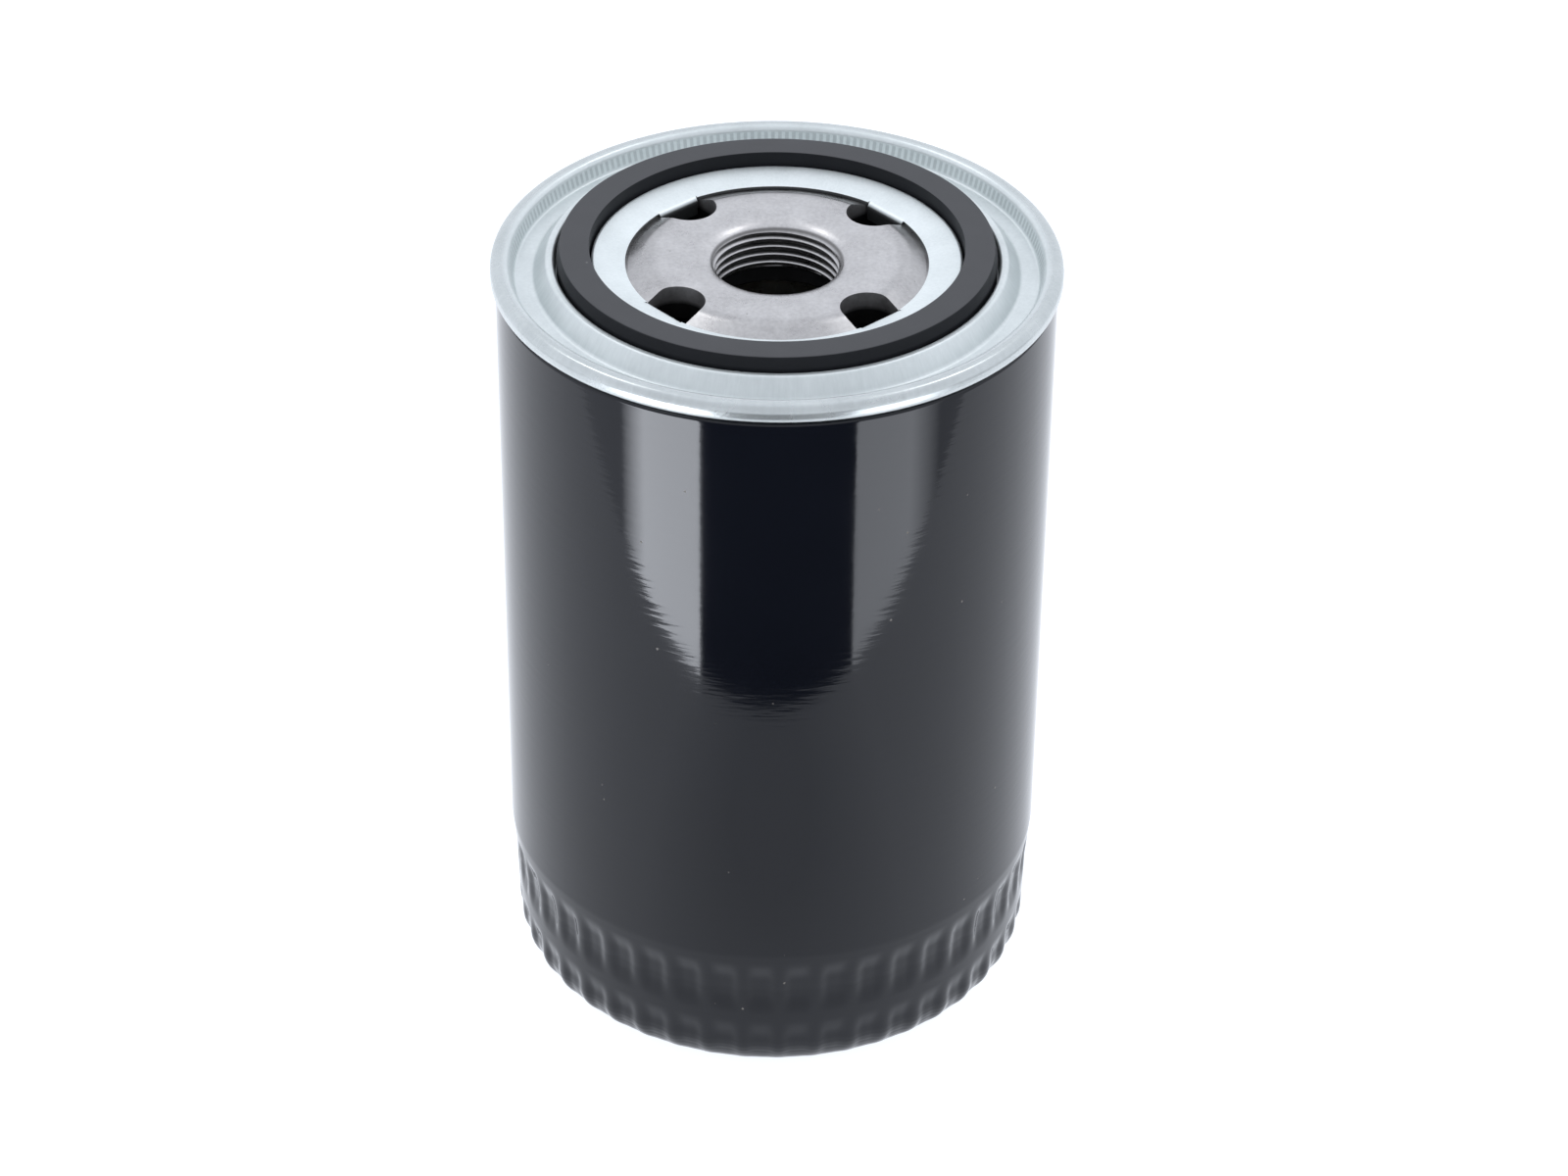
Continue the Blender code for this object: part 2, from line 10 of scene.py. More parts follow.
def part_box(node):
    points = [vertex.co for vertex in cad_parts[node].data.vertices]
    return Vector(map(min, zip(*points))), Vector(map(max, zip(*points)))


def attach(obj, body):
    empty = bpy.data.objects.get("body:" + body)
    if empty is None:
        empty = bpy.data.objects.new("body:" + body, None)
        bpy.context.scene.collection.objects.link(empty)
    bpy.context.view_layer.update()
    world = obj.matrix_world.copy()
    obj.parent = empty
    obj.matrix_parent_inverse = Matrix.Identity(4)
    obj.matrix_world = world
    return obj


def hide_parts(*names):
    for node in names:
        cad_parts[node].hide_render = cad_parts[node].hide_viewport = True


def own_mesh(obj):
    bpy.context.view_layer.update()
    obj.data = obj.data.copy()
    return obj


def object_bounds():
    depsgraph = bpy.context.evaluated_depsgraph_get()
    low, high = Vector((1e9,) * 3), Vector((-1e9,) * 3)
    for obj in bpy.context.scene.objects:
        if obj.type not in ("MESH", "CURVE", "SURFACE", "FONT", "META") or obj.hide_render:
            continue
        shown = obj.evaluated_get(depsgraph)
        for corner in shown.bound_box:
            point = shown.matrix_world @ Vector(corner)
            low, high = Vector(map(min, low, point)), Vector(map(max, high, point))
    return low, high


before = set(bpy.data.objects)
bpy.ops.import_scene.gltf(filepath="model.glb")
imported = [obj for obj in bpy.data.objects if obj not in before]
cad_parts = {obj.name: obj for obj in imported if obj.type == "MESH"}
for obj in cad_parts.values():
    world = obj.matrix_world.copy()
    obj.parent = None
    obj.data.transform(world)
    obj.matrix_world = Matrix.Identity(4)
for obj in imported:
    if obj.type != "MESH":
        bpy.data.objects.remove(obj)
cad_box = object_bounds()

MM = 0.001

# Driving dimensions in millimetres, read from the frame
HEIGHT = cad_box[1].z / MM
SEAM_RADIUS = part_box("seaming_lid")[1].x / MM
CAN_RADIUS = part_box("can_shell")[1].x / MM
GASKET_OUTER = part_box("sealing_gasket")[1].x / MM
HUB_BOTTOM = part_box("thread_plate")[0].z / MM
RAISED_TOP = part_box("thread_plate")[1].z / MM
PLATE_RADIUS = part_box("thread_plate")[1].x / MM
VALVE_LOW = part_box("anti_drain_valve")[0].z / MM
VALVE_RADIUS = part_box("anti_drain_valve")[1].x / MM
SEAM_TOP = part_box("seaming_lid")[1].z / MM

# Sheet thicknesses and the gap that touching pieces keep
SHEET = 0.5
GAP = 0.3

# Heights of the closing end
PLATE_RISE = 1.5
PLATE_THICKNESS = 4.4
GASKET_DEPTH = 5.3
SEAM_HEIGHT = 3.3
PLATE_TOP = RAISED_TOP - PLATE_RISE
PLATE_BOTTOM = PLATE_TOP - PLATE_THICKNESS
LID_TOP = PLATE_TOP + GAP + SHEET
FLOOR = HEIGHT - GASKET_DEPTH
SEAM_BOTTOM = SEAM_TOP - SEAM_HEIGHT

# Radii of the closing end
OPENING_RADIUS = 25.1
GASKET_INNER = 31.0
GROOVE_INNER = GASKET_INNER - GAP
GROOVE_OUTER = GASKET_OUTER + 0.4
HUB_RADIUS = 13.2
STEP_RADIUS = 29.7
SLOPE_RADIUS = 24.9
RAISED_RADIUS = 21.5
RIDGE_RADIUS = 38.1
RIDGE_FOOT = 40.3
WALL_FOOT = SEAM_RADIUS - 3.95
WALL_TOP = SEAM_RADIUS - 3.05
SEAM_WIDTH = 2.1

# The lid's inner land rises outwards from its opening
LAND_DIP = 0.25
LAND_SLOPE = 0.19

# Lid tabs and the inlet slots that they fold into
TAB_COUNT = 4
TAB_ANGLE = math.radians(42.6)
TAB_WIDTH = 8.2
TAB_FACE = 24.3
TAB_ROOT = 26.2
TAB_DROP = 3.3
TAB_BEND = 1.1
SLOT_WIDTH = 9.2
SLOT_INNER = 17.3
SLOT_OUTER = 28.4

# M22 x 1.5 internal thread. Its shift says where round the bore the helix starts
THREAD_PITCH = 1.5
THREAD_MINOR = 10.19
THREAD_MAJOR = 11.0
THREAD_SHIFT = 0.81
THREAD_EXIT = 11.2
THREAD_ROWS = 16

# Rounded lip from the plate's raised middle down into the thread
MOUTH_REACH = 4.5
MOUTH_DEPTH = 2.2
MOUTH_RADIUS = THREAD_MINOR + MOUTH_REACH

# Knurl ticks that the seaming chuck leaves on the lid's inner wall
TICK_COUNT = 230
TICK_DEPTH = 0.12
TICK_LOW = FLOOR + 0.6
TICK_HIGH = SEAM_TOP - 1.1
TICK_INNER = SEAM_RADIUS - 4.0
TICK_OUTER = SEAM_RADIUS - 2.9

# Can base and wrench flutes
FLUTE_COUNT = 45
FLUTE_DEPTH = 0.5
RIDGE_HALF = 0.2
POCKET_HALF = 2.3
FLUTE_RUNOUT = 4.2
LOWER_RADIUS = 45.4
CORNER_RADIUS = 7.0
UPPER_FLUTES = (13.6, 25.4)
LOWER_FLUTES = (0.5, 12.0)
FLUTE_ROW = 0.35
BASE_DISH = 2.0

# Pairs of radii between which a material changes, from the first to the second
# Inside the first radius the lid's upright faces get painted shade
INNER_WALL_SHADE = (26.4, 26.0)
PAST_GROOVE = (30.8, 31.2)
STRUCK_WALL = (43.5, 44.6)
TO_SEAM = (44.6, 45.6)
TO_SMOOTH = (43.8, 45.5)
PLATE_SLOPE = (19.6, 20.9)
# Painted shade ring at the top of the thread
BORE_SHADE = (10.7, 10.9)
TO_SLOTS = (15.0, 16.5)
INNER_FOLDS = (24.0, 19.0)

# Studio: every glowing surface is slightly cool
COOL_WHITE = (1.0, 1.04, 1.12)
PANEL_RADIUS = 0.9
PANEL_LOW = -1.1
LEFT_SHADE = 0.88
RIGHT_SHADE = 0.68
DIM_SKY = 0.75

# Springs, and how far their joints travel
SUPPORT_WIRE = 2.2
BYPASS_WIRE = 1.0
CLOSED_GAP = 0.35
COIL_STEPS = 48
WIRE_SIDES = 12

# How finely round pieces are turned
CAN_SEGMENTS = FLUTE_COUNT * 16
LID_SEGMENTS = TICK_COUNT * 4
ROUND_SEGMENTS = 256
THREAD_SEGMENTS = 192


# ---------------------------------------------------------------- outlines

def filleted(corners, step=15.0, hold=0.2):
    """Points along (radius, height, fillet) corners, each rounded by its fillet.

    A holding point before and after each fillet keeps the flat stretches flat when shaded smooth.
    """
    points = [Vector(corners[0][:2])]
    for index in range(1, len(corners) - 1):
        corner = Vector(corners[index][:2])
        fillet = corners[index][2]
        if fillet == 0.0:
            points.append(corner)
            continue
        back = (Vector(corners[index - 1][:2]) - corner).normalized()
        ahead = (Vector(corners[index + 1][:2]) - corner).normalized()
        half = back.angle(ahead) / 2.0
        tangent = fillet / math.tan(half)
        centre = corner + (back + ahead).normalized() * fillet / math.sin(half)
        start = corner + back * tangent - centre
        turn = math.pi - 2.0 * half
        if back.x * ahead.y - back.y * ahead.x > 0.0:
            turn = -turn
        steps = max(2, round(abs(math.degrees(turn)) / step))
        points.append(centre + start + back * hold)
        for count in range(steps + 1):
            points.append(centre + Matrix.Rotation(turn * count / steps, 2) @ start)
        points.append(points[-1] + ahead * hold)
    points.append(Vector(corners[-1][:2]))
    return points


def offset_path(path, thickness):
    """The path's other face, on its left, at the sheet's thickness."""
    result = []
    last = len(path) - 1
    for index, point in enumerate(path):
        normals = []
        for start, end in ((path[max(index - 1, 0)], point), (point, path[min(index + 1, last)])):
            run = end - start
            if run.length > 1e-9:
                normals.append(Vector((-run.y, run.x)).normalized())
        corner = sum(normals, Vector((0.0, 0.0))).normalized()
        result.append(point + corner * thickness / corner.dot(normals[0]))
    return result


def smoothstep(value, low, high):
    share = min(max((value - low) / (high - low), 0.0), 1.0)
    return share * share * (3.0 - 2.0 * share)


# ---------------------------------------------------------------- meshes

def finish_mesh(name, mesh_data, finish, body, replaced, sharp=35.0):
    """Turns a bmesh in millimetres into a smooth-shaded piece that rides on a body."""
    bmesh.ops.recalc_face_normals(mesh_data, faces=mesh_data.faces)
    bmesh.ops.scale(mesh_data, vec=(MM, MM, MM), verts=mesh_data.verts)
    mesh = bpy.data.meshes.new(name)
    mesh_data.to_mesh(mesh)
    mesh_data.free()
    mesh.shade_smooth()
    mesh.set_sharp_from_angle(angle=math.radians(sharp))
    mesh.materials.append(finish)
    piece = bpy.data.objects.new(name, mesh)
    bpy.context.scene.collection.objects.link(piece)
    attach(piece, body)
    if replaced:
        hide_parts(replaced)
    return piece


def turned(outline, segments, place=None, closed=True):
    """Spins an outline of (radius, height) points about Z. place(row, angle) may move a point."""
    mesh_data = bmesh.new()
    rings = []
    for row, (radius, height) in enumerate(outline):
        ring = []
        for segment in range(segments):
            angle = 2.0 * math.pi * segment / segments
            here = place(row, angle) if place else (radius, height)
            point = (here[0] * math.cos(angle), here[0] * math.sin(angle), here[1])
            ring.append(mesh_data.verts.new(point))
            if radius < 1e-6:
                ring = [ring[0]] * segments
                break
        rings.append(ring)
    following = rings[1:] + rings[:1] if closed else rings[1:]
    for ring, above in zip(rings, following):
        for segment in range(segments):
            after = (segment + 1) % segments
            face = list(dict.fromkeys((ring[segment], ring[after], above[after], above[segment])))
            if len(face) > 2:
                mesh_data.faces.new(face)
    return mesh_data


# ---------------------------------------------------------------- can

def flute_depth(angle, height):
    """Depth pressed into the wall: rounded pockets between narrow upright ridges."""
    pitch = 2.0 * math.pi / FLUTE_COUNT
    across = abs((angle / pitch + 0.5) % 1.0 - 0.5) * pitch * LOWER_RADIUS
    side = smoothstep(across, RIDGE_HALF, POCKET_HALF)
    ends = 0.0
    for low, high in (LOWER_FLUTES, UPPER_FLUTES):
        ends = max(ends, smoothstep(min(height - low, high - height), 0.0, FLUTE_RUNOUT))
    return FLUTE_DEPTH * side * ends


def can_path():
    """Outer face of the can, from the middle of its base up into the seam."""
    neck = CAN_RADIUS - 1.2
    corners = [(0.0, BASE_DISH, 0), (27.5, BASE_DISH, 4.0), (31.2, 0.0, 2.5)]
    corners += [(LOWER_RADIUS, 0.0, CORNER_RADIUS), (LOWER_RADIUS + 0.35, 13.0, 8.0)]
    corners += [(LOWER_RADIUS + 0.5, 19.0, 8.0), (CAN_RADIUS, 27.0, 8.0)]
    corners += [(CAN_RADIUS, SEAM_BOTTOM - 0.35, 0.5), (neck, SEAM_BOTTOM - 0.3, 0.2)]
    corners += [(neck, SEAM_TOP - 2.1, 0)]
    path = filleted(corners, step=9.0)
    rows = []
    for start, end in zip(path, path[1:]):
        low = min(start.y, end.y)
        pieces = 1
        if start.x > LOWER_RADIUS - CORNER_RADIUS and low < UPPER_FLUTES[1] + 0.5:
            pieces = max(1, math.ceil((end - start).length / FLUTE_ROW))
        for count in range(pieces):
            rows.append(start.lerp(end, count / pieces))
    rows.append(path[-1])
    return rows


def make_can():
    """Can of one sheet: both faces are turned from the outline, and the flutes are pressed into both."""
    outer = can_path()
    inner = offset_path(outer, SHEET)
    inner[0] = Vector((0.0, inner[0].y))
    outline = outer + inner[::-1]
    count = len(outer)

    def place(row, angle):
        source = row if row < count else 2 * count - 1 - row
        radius, height = outline[row]
        if outer[source].x < LOWER_RADIUS - CORNER_RADIUS:
            return radius, height
        depth = flute_depth(angle, outer[source].y)
        before = outer[max(source - 1, 0)]
        after = outer[min(source + 1, count - 1)]
        run = (after - before).normalized()
        return radius - depth * run.y, height + depth * run.x

    mesh_data = turned(outline, CAN_SEGMENTS, place, closed=False)
    piece = finish_mesh("can_body", mesh_data, can_paint(), "housing", "can_shell", sharp=50.0)


# ---------------------------------------------------------------- lid

def at_tab(angle):
    """Whether an angle is within a tab's width, and the angle from the nearest tab's middle."""
    pitch = 2.0 * math.pi / TAB_COUNT
    away = (angle - TAB_ANGLE + pitch / 2.0) % pitch - pitch / 2.0
    half = math.asin(TAB_WIDTH / 2.0 / TAB_FACE)
    return abs(away) < half, away


def land_height(radius):
    """Upper face of the lid's inner land, a shallow cone."""
    return LID_TOP - LAND_DIP + LAND_SLOPE * (radius - OPENING_RADIUS)


def lid_path():
    """Upper face of the lid from the tab's root outwards, over the groove, into the seam."""
    corners = [(TAB_ROOT, land_height(TAB_ROOT), 0), (GROOVE_INNER, land_height(GROOVE_INNER), 0.45)]
    corners += [(GROOVE_INNER, FLOOR, 0.3), (GROOVE_OUTER, FLOOR, 0.3)]
    corners += [(GROOVE_OUTER, SEAM_TOP, 0.5), (RIDGE_RADIUS, SEAM_TOP, 0.7)]
    corners += [(RIDGE_FOOT, FLOOR, 0.9), (WALL_FOOT, FLOOR, 0.5)]
    corners += [(WALL_TOP, SEAM_TOP, 1.25), (SEAM_RADIUS, SEAM_TOP, 1.5)]
    corners += [(SEAM_RADIUS, SEAM_BOTTOM, 1.2), (SEAM_RADIUS - SEAM_WIDTH, SEAM_BOTTOM, 0.35)]
    corners += [(SEAM_RADIUS - SEAM_WIDTH, SEAM_BOTTOM + 1.0, 0)]
    return filleted(corners, step=12.0, hold=0.12)


def tab_path(offset):
    """One face of a tab, from its tip up and over the bend to its root."""
    corners = [(TAB_FACE + offset, LID_TOP - TAB_DROP, 0)]
    corners += [(TAB_FACE + offset, land_height(TAB_FACE) - offset, TAB_BEND - offset)]
    corners += [(TAB_ROOT, land_height(TAB_ROOT) - offset, 0)]
    return filleted(corners, step=10.0)


def make_lid():
    """Lid of one sheet with its tabs folded down, its knurled inner wall and its rolled seam."""
    upper = lid_path()
    under = offset_path(upper[::-1], SHEET)[::-1]
    tab_upper = tab_path(0.0)
    tab_under = tab_path(SHEET)
    tab_rows = len(tab_upper) - 1
    outline = tab_upper[:-1] + upper + under[::-1] + tab_under[:-1][::-1]
    last = len(outline) - 1

    def place(row, angle):
        radius, height = outline[row]
        from_tip = min(row, last - row)
        if from_tip < tab_rows:
            inside, away = at_tab(angle)
            if inside:
                return radius / math.cos(away) ** smoothstep(TAB_ROOT - radius, 0.0, 1.2), height
            share = from_tip / tab_rows
            edge = OPENING_RADIUS + (TAB_ROOT - OPENING_RADIUS) * share
            level = land_height(edge)
            return edge, level if row <= tab_rows else level - SHEET
        if row < tab_rows + len(upper) and TICK_INNER < radius < TICK_OUTER:
            fade = smoothstep(height, TICK_LOW - 0.25, TICK_LOW + 0.1)
            fade *= 1.0 - smoothstep(height, TICK_HIGH - 0.2, TICK_HIGH + 0.2)
            phase = round(angle / (2.0 * math.pi) * LID_SEGMENTS) % 4
            return radius + TICK_DEPTH * fade * (1.0 if phase < 2 else 0.0), height
        return radius, height

    mesh_data = turned(outline, LID_SEGMENTS, place)
    piece = finish_mesh("lid_and_seam", mesh_data, zinc(), "housing", "seaming_lid", sharp=40.0)


# ---------------------------------------------------------------- thread plate

def thread_radius(turn_share):
    """Radius along one pitch of the 60 degree internal thread: flat crest, flank, flat root, flank."""
    crest = 0.22
    root = 0.14
    flank = (1.0 - crest - root) / 2.0
    share = turn_share % 1.0
    if share < crest:
        return THREAD_MINOR
    if share < crest + flank:
        return THREAD_MINOR + (THREAD_MAJOR - THREAD_MINOR) * (share - crest) / flank
    if share < crest + flank + root:
        return THREAD_MAJOR
    return THREAD_MAJOR - (THREAD_MAJOR - THREAD_MINOR) * (share - crest - flank - root) / flank


def mouth_height(radius):
    """Height of the rounded lip that runs down from the plate's raised middle into the bore."""
    share = (MOUTH_RADIUS - radius) / MOUTH_REACH
    return RAISED_TOP - MOUTH_DEPTH * (1.0 - math.sqrt(1.0 - share * share))


def lip_radius(height):
    """Radius of the same lip at a height, and 0 below the lip."""
    share = 1.0 - (RAISED_TOP - height) / MOUTH_DEPTH
    if share < 0.0:
        return 0.0
    return MOUTH_RADIUS - MOUTH_REACH * math.sqrt(1.0 - share * share)


def thread_bore(mesh_data, low, high):
    """Helical thread surface: rows follow the helix, and are clipped level at both mouths."""
    turns = math.ceil((high - low) / THREAD_PITCH) + 3
    grid = []
    for row in range(turns * THREAD_ROWS + 1):
        line = []
        step = row / THREAD_ROWS
        for segment in range(THREAD_SEGMENTS + 1):
            angle = 2.0 * math.pi * segment / THREAD_SEGMENTS
            raw = low - 2.0 * THREAD_PITCH + THREAD_SHIFT
            raw += (step + segment / THREAD_SEGMENTS) * THREAD_PITCH
            height = min(max(raw, low), high)
            share = step + (height - raw) / THREAD_PITCH
            radius = max(thread_radius(share), lip_radius(height), THREAD_EXIT - (height - low))
            point = (radius * math.cos(angle), radius * math.sin(angle), height)
            line.append(mesh_data.verts.new(point))
        grid.append(line)
    for below, above in zip(grid, grid[1:]):
        for segment in range(THREAD_SEGMENTS):
            face = (below[segment], below[segment + 1], above[segment + 1], above[segment])
            mesh_data.faces.new(face)


def slot_plan(angle):
    """Round-ended slot that runs out from the hub."""
    half = SLOT_WIDTH / 2.0
    plan = []
    for centre, start in ((SLOT_OUTER - half, -90.0), (SLOT_INNER + half, 90.0)):
        for step in range(25):
            turn = math.radians(start + 180.0 * step / 24)
            plan.append(Vector((centre + half * math.cos(turn), half * math.sin(turn))))
    return [Matrix.Rotation(angle, 2) @ point for point in plan]


def cut_slots(piece):
    """Cuts the four inlet slots through the plate and applies the cut."""
    mesh_data = bmesh.new()
    for slot in range(TAB_COUNT):
        plan = slot_plan(TAB_ANGLE + slot * 2.0 * math.pi / TAB_COUNT)
        low = [mesh_data.verts.new((p.x, p.y, PLATE_BOTTOM - 1.0)) for p in plan]
        high = [mesh_data.verts.new((p.x, p.y, RAISED_TOP + 1.0)) for p in plan]
        mesh_data.faces.new(low[::-1])
        mesh_data.faces.new(high)
        for index in range(len(plan)):
            after = (index + 1) % len(plan)
            mesh_data.faces.new((low[index], low[after], high[after], high[index]))
    bmesh.ops.scale(mesh_data, vec=(MM, MM, MM), verts=mesh_data.verts)
    mesh = bpy.data.meshes.new("slot_cutter")
    mesh_data.to_mesh(mesh)
    mesh_data.free()
    cutter = bpy.data.objects.new("slot_cutter", mesh)
    bpy.context.scene.collection.objects.link(cutter)
    modifier = piece.modifiers.new("slots", "BOOLEAN")
    modifier.operation = "DIFFERENCE"
    modifier.object = cutter
    bpy.context.view_layer.update()
    graph = bpy.context.evaluated_depsgraph_get()
    result = bpy.data.meshes.new_from_object(piece.evaluated_get(graph))
    piece.modifiers.clear()
    piece.data = result
    bpy.data.objects.remove(cutter, do_unlink=True)
    result.shade_smooth()
    result.set_sharp_from_angle(angle=math.radians(32.0))


def make_plate():
    """Threaded plate: the bore and the turned shell are joined, then the slots are cut."""
    rim_top = FLOOR - SHEET - GAP
    low = HUB_BOTTOM
    lip_end = THREAD_MAJOR + 0.1
    high = mouth_height(lip_end)
    mesh_data = bmesh.new()
    thread_bore(mesh_data, low, high)
    corners = [(THREAD_EXIT, low, 0), (HUB_RADIUS, low, 0.5), (HUB_RADIUS, PLATE_BOTTOM, 0.3)]
    corners += [(PLATE_RADIUS, PLATE_BOTTOM, 0.4), (PLATE_RADIUS, rim_top, 0.6)]
    corners += [(STEP_RADIUS, rim_top, 0.4), (STEP_RADIUS - 0.2, PLATE_TOP, 0.4)]
    corners += [(SLOPE_RADIUS, PLATE_TOP, 1.0), (RAISED_RADIUS, RAISED_TOP, 4.0)]
    corners += [(MOUTH_RADIUS, RAISED_TOP, 0)]
    path = filleted(corners, step=8.0)
    lip_steps = 16
    for step in range(1, lip_steps + 1):
        share = math.sin(math.pi / 2.0 * step / lip_steps)
        radius = MOUTH_RADIUS - (MOUTH_RADIUS - lip_end) * share
        path.append(Vector((radius, mouth_height(radius))))
    rings = turned(path, THREAD_SEGMENTS, closed=False)
    shell = bpy.data.meshes.new("plate_shell")
    rings.to_mesh(shell)
    rings.free()
    mesh_data.from_mesh(shell)
    bmesh.ops.remove_doubles(mesh_data, verts=mesh_data.verts, dist=1e-4)
    bmesh.ops.dissolve_degenerate(mesh_data, edges=mesh_data.edges, dist=1e-5)
    piece = finish_mesh("threaded_plate", mesh_data, plate_steel(), "housing", "thread_plate", sharp=32.0)
    cut_slots(piece)


# ---------------------------------------------------------------- rubber

def make_gasket():
    """Square-cut ring whose outer wall leans in a little near its top."""
    low = FLOOR + GAP
    outer = GASKET_OUTER
    corners = [(33.0, low, 0), (outer, low, 0.3), (outer, HEIGHT - 1.9, 0.8)]
    corners += [(outer - 0.5, HEIGHT, 0.22), (GASKET_INNER, HEIGHT, 0.12)]
    corners += [(GASKET_INNER, low, 0.3), (32.9, low, 0)]
    mesh_data = turned(filleted(corners, hold=0.1), ROUND_SEGMENTS)
    piece = finish_mesh("gasket_ring", mesh_data, gasket_rubber(), "housing", "sealing_gasket")


def make_valve():
    """Rubber membrane under the slots: a rounded collar, a thin web and a sealing lip."""
    top = PLATE_BOTTOM - GAP
    low = VALVE_LOW
    lip = VALVE_RADIUS
    collar = 17.5
    corners = [(13.0, low, 0), (collar, low, 0.5), (collar + 0.2, low + 2.1, 0.8)]
    corners += [(lip - 0.5, top - 1.2, 0.3), (lip, top - 0.6, 0.25), (lip - 0.4, top, 0.2)]
    corners += [(lip - 1.6, top, 0.4), (lip - 3.5, top - 0.8, 1.2), (collar, top - 2.4, 0.6)]
    corners += [(collar, top, 0.8), (HUB_RADIUS + GAP, top, 0.3)]
    corners += [(HUB_RADIUS + GAP, HUB_BOTTOM - GAP, 0.2), (12.0, HUB_BOTTOM - GAP, 0.3)]
    corners += [(12.0, low, 0.4), (12.9, low, 0)]
    mesh_data = turned(filleted(corners, hold=0.1), ROUND_SEGMENTS)
    piece = finish_mesh("drain_back_valve", mesh_data, valve_rubber(), "housing", "anti_drain_valve")


# ---------------------------------------------------------------- springs

def coil_line(low, high, coil_radius, wire, turns):
    """Centre line of a compression spring whose first and last turns lie almost closed."""
    closed_pitch = wire + CLOSED_GAP
    active_pitch = (high - low - wire - 2.0 * closed_pitch) / (turns - 2)
    points = []
    for step in range(turns * COIL_STEPS + 1):
        turn = step / COIL_STEPS
        closed = min(turn, 1.0) + max(turn - (turns - 1), 0.0)
        active = min(max(turn - 1.0, 0.0), turns - 2)
        height = low + wire / 2.0 + closed_pitch * closed + active_pitch * active
        angle = 2.0 * math.pi * turn
        points.append(Vector((coil_radius * math.cos(angle), coil_radius * math.sin(angle), height)))
    return points


def make_spring(name, node, wire, turns, body):
    """Round wire swept along its coil, on a mesh of its own."""
    low_corner, high_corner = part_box(node)
    low = low_corner.z / MM
    high = high_corner.z / MM
    line = coil_line(low, high, high_corner.x / MM - wire / 2.0, wire, turns)
    mesh_data = bmesh.new()
    rings = []
    for index, point in enumerate(line):
        along = (line[min(index + 1, len(line) - 1)] - line[max(index - 1, 0)]).normalized()
        outward = Vector((point.x, point.y, 0.0)).normalized()
        upward = along.cross(outward)
        ring = []
        for side in range(WIRE_SIDES):
            turn = 2.0 * math.pi * side / WIRE_SIDES
            reach = outward * math.cos(turn) + upward * math.sin(turn)
            ring.append(mesh_data.verts.new(point + reach * wire / 2.0))
        rings.append(ring)
    for ring, after in zip(rings, rings[1:]):
        for side in range(WIRE_SIDES):
            beside = (side + 1) % WIRE_SIDES
            mesh_data.faces.new((ring[side], ring[beside], after[beside], after[side]))
    mesh_data.faces.new(rings[0])
    mesh_data.faces.new(rings[-1])
    piece = finish_mesh(name, mesh_data, spring_steel(), body, node)
    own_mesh(piece)


def make_springs():
    make_spring("element_spring", "support_spring", SUPPORT_WIRE, 4, "housing")
    make_spring("relief_spring", "bypass_spring", BYPASS_WIRE, 5, "element")


# ---------------------------------------------------------------- material tools

